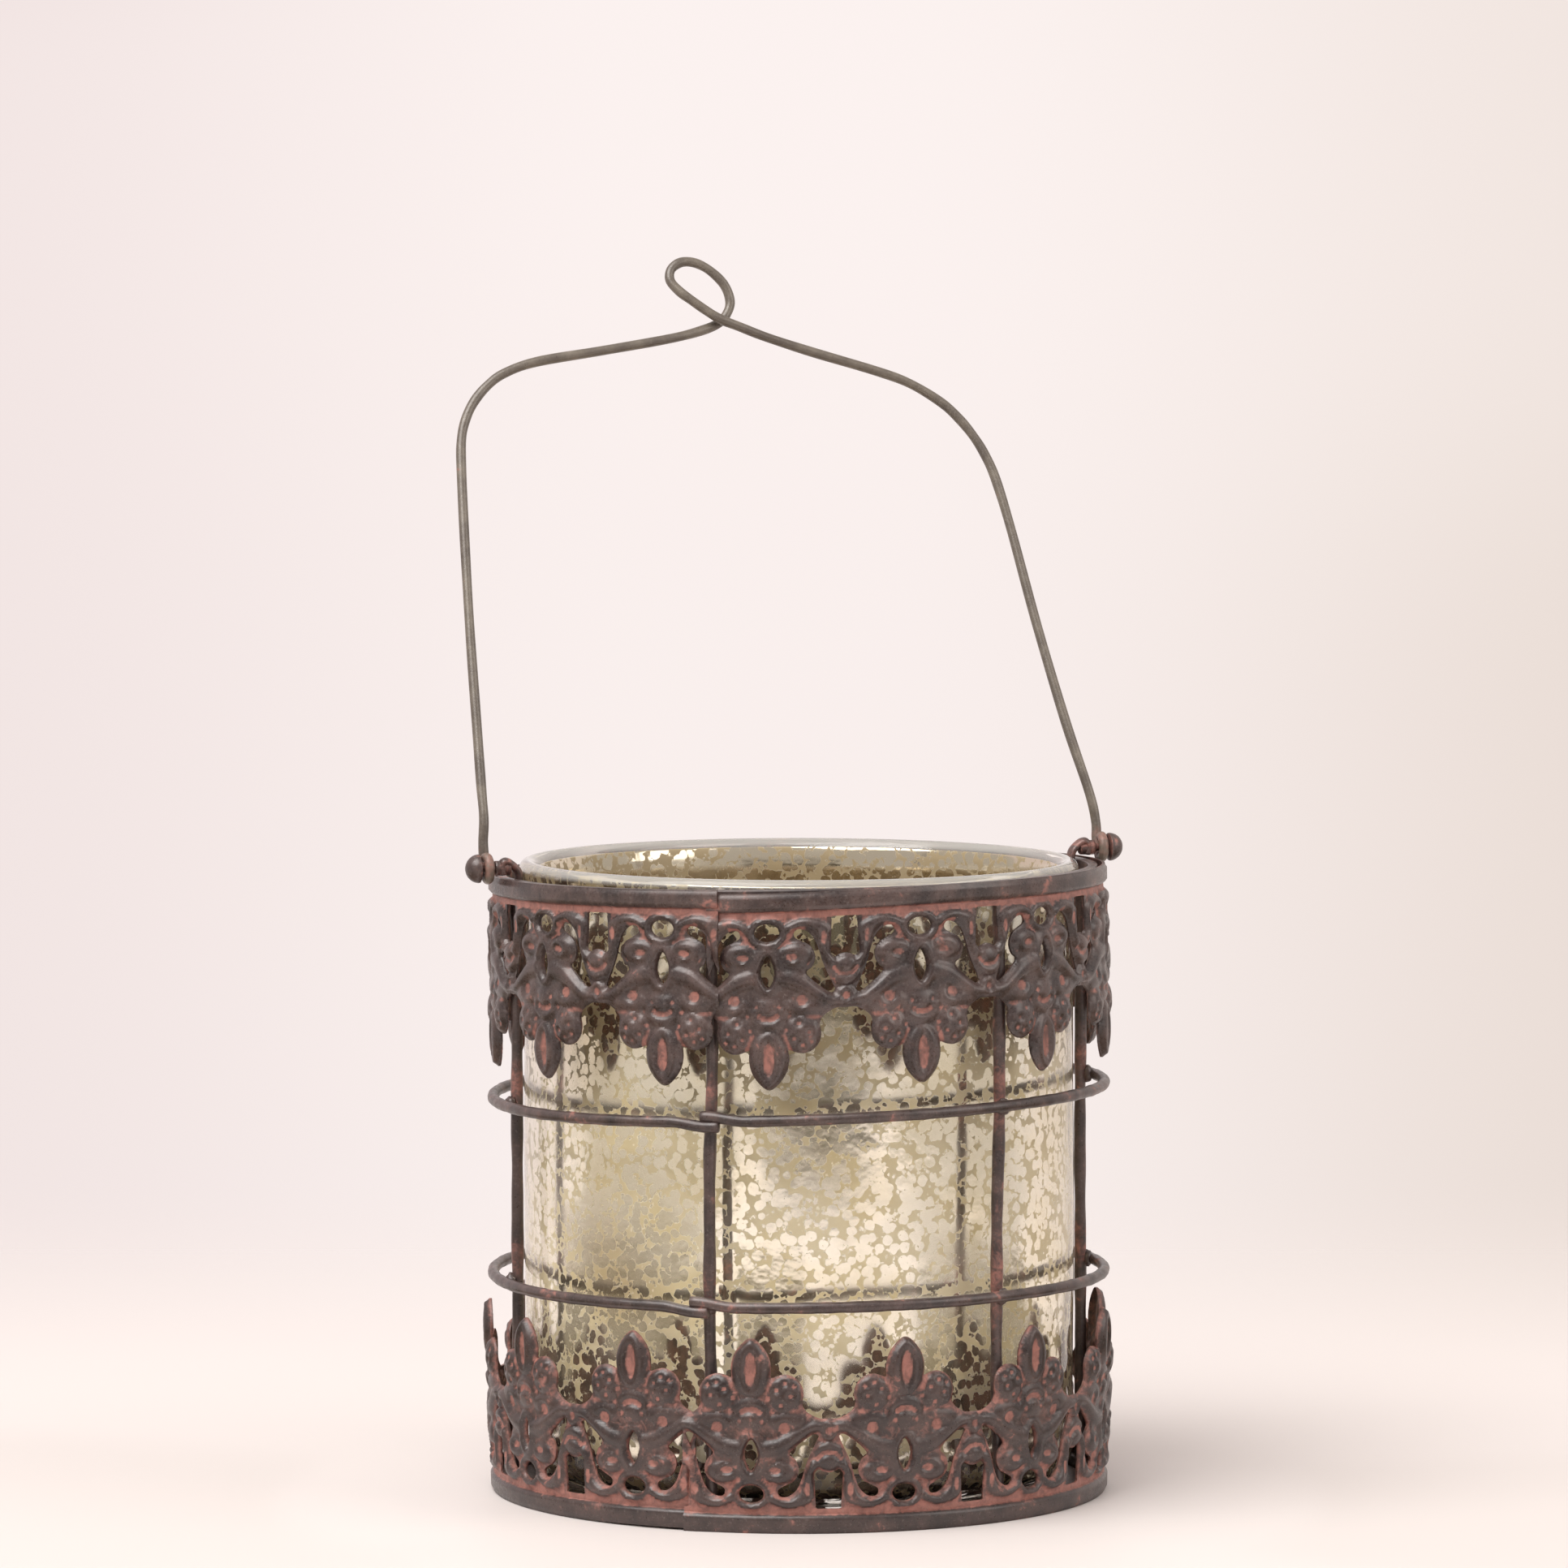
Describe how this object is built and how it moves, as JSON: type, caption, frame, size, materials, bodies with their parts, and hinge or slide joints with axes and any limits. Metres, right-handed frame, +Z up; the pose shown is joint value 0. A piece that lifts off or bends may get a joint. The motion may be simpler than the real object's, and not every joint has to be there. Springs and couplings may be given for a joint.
{
  "type": "tealight holder",
  "caption": "Round wire and pressed-lace cage with a swinging wire handle, holding a loose silvered glass tumbler for a tealight.",
  "frame": {"origin": "centre of the underside, on the surface the holder stands on", "axes": "+Z up; -Y is the front, +X the right; the handle's pins lie 15 degrees off X"},
  "size_m": [0.1022, 0.0948, 0.1871],
  "materials": {
    "patina_steel": "dark brown patina over brick red undercoat, satin, rubbed on edges",
    "rubbed_filigree": "dark brown patina with brick red left in the hollows, satin",
    "handle_wire": "brown-grey patina, satin",
    "clear_glass": "clear, polished, slightly wavy",
    "crackle_silver": "pale gold silvering broken into blotches by a matt tan network"
  },
  "bodies": {
    "cage": {"base_plate": "patina_steel", "base_ring": "patina_steel", "lower_filigree_band": "rubbed_filigree", "upright_1": "patina_steel", "upright_2": "patina_steel", "upright_3": "patina_steel", "upright_4": "patina_steel", "upright_5": "patina_steel", "upright_6": "patina_steel", "lower_hoop": "patina_steel", "upper_hoop": "patina_steel", "upper_ring": "patina_steel", "upper_filigree_band": "rubbed_filigree", "left_lug": "patina_steel", "left_pivot": "patina_steel", "right_lug": "patina_steel", "right_pivot": "patina_steel"},
    "glass": {"glass_jar": "clear_glass", "silver_lining": "crackle_silver"},
    "handle": {"handle": "handle_wire"}
  },
  "joints": [
    {"name": "handle_swing", "type": "hinge", "parent": "cage", "child": "handle", "pos_m": [-0.00028, 0.00017, 0.0961], "axis": [0.9658, 0.259, 0.0141], "range_deg": [-88, 130]},
    {"name": "glass_lift", "type": "slide", "parent": "cage", "child": "glass", "axis": [0, 0, 1], "range_m": [0, 0.055]}
  ]
}
